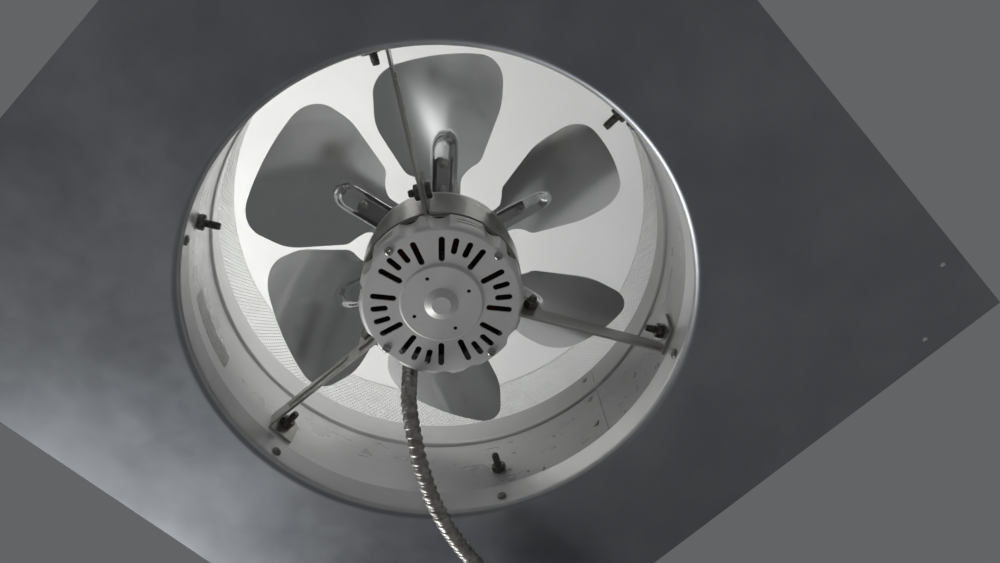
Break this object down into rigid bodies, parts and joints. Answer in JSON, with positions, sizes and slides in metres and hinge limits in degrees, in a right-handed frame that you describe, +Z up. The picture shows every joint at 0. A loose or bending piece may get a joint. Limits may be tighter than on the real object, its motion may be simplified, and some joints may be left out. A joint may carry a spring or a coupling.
{
  "type": "powered roof vent",
  "caption": "Powered attic roof vent: square roof flange with a round throat, insect screen, dome and a bladed exhaust fan on bracket legs, with flexible conduit and a thermostat box.",
  "frame": {"origin": "centre of the square roof flange's underside, on the roof's surface and on the fan's axis", "axes": "+Z up out of the roof along the fan's axis; +X and +Y along the flange's sides, +X towards the side the conduit runs to"},
  "size_m": [0.628, 0.61, 0.3171],
  "materials": {
    "flange_sheet": "mill-galvanised sheet, dull blue-grey",
    "sleeve_sheet": "galvanised sheet, satin with faint stains",
    "screen_mesh": "expanded or woven wire cloth, bright",
    "dome_sheet": "moulded, white, lets some daylight through",
    "bracket_steel": "zinc plated, satin",
    "fastener_steel": "zinc plated, worn",
    "motor_casing": "pale grey pressed steel, satin",
    "lamination": "varnished electrical steel",
    "winding_copper": "enamelled copper wire",
    "bearing_bronze": "sintered bronze",
    "inner_steel": "plain pressed steel",
    "rotor_metal": "cast aluminium cage on laminations",
    "shaft_steel": "ground",
    "washer_nylon": "natural nylon",
    "fan_metal": "bare pressed sheet, bright",
    "hub_steel": "zinc plated",
    "conduit_metal": "interlocked strip, bright crests and dark grooves",
    "fitting_zinc": "zinc die casting",
    "box_steel": "pre-galvanised, satin",
    "switch_plastic": "moulded, black",
    "dial_plastic": "moulded, ivory"
  },
  "bodies": {
    "frame": {"roof_flange": "flange_sheet", "neck_screws": "fastener_steel", "sleeve": "sleeve_sheet", "seam_rivets": "sleeve_sheet", "insect_screen": "screen_mesh", "dome": "dome_sheet", "dome_bracket_1": "bracket_steel", "dome_bracket_2": "bracket_steel", "dome_bracket_3": "bracket_steel", "dome_rivets": "bracket_steel", "dome_bolts": "fastener_steel", "dome_nuts": "fastener_steel", "motor_leg_1": "bracket_steel", "motor_leg_2": "bracket_steel", "motor_leg_3": "bracket_steel", "foot_bolts": "fastener_steel", "foot_nuts": "fastener_steel", "clamp_bolts": "fastener_steel", "clamp_nuts": "fastener_steel", "lower_end_bell": "motor_casing", "upper_end_bell": "motor_casing", "motor_shell": "motor_casing", "stator_core": "lamination", "stator_windings": "winding_copper", "through_bolts": "fastener_steel", "through_nuts": "fastener_steel", "lower_bearing": "bearing_bronze", "upper_bearing": "bearing_bronze", "bearing_plates": "inner_steel", "motor_connector": "fitting_zinc", "motor_locknut": "inner_steel", "conduit": "conduit_metal", "box_connector": "fitting_zinc", "box_locknut": "inner_steel", "thermostat_box": "box_steel", "box_cover": "box_steel", "cover_screws": "fastener_steel", "thermostat_body": "switch_plastic"},
    "fan": {"rotor": "rotor_metal", "motor_shaft": "shaft_steel", "thrust_washers": "washer_nylon", "fan_hub": "hub_steel", "hub_setscrew": "fastener_steel", "blade_1": "fan_metal", "blade_2": "fan_metal", "blade_3": "fan_metal", "blade_4": "fan_metal", "blade_5": "fan_metal", "blade_6": "fan_metal", "blade_rivets": "fastener_steel"},
    "dial": {"thermostat_dial": "dial_plastic"}
  },
  "joints": [
    {"name": "fan_spin", "type": "hinge", "parent": "frame", "child": "fan", "pos_m": [0, 0, 0.11], "axis": [0, 0, 1], "continuous": true},
    {"name": "dial_turn", "type": "hinge", "parent": "frame", "child": "dial", "pos_m": [0.271, 0.126, -0.08], "axis": [0, 0, 1], "range_deg": [-135, 135]}
  ]
}
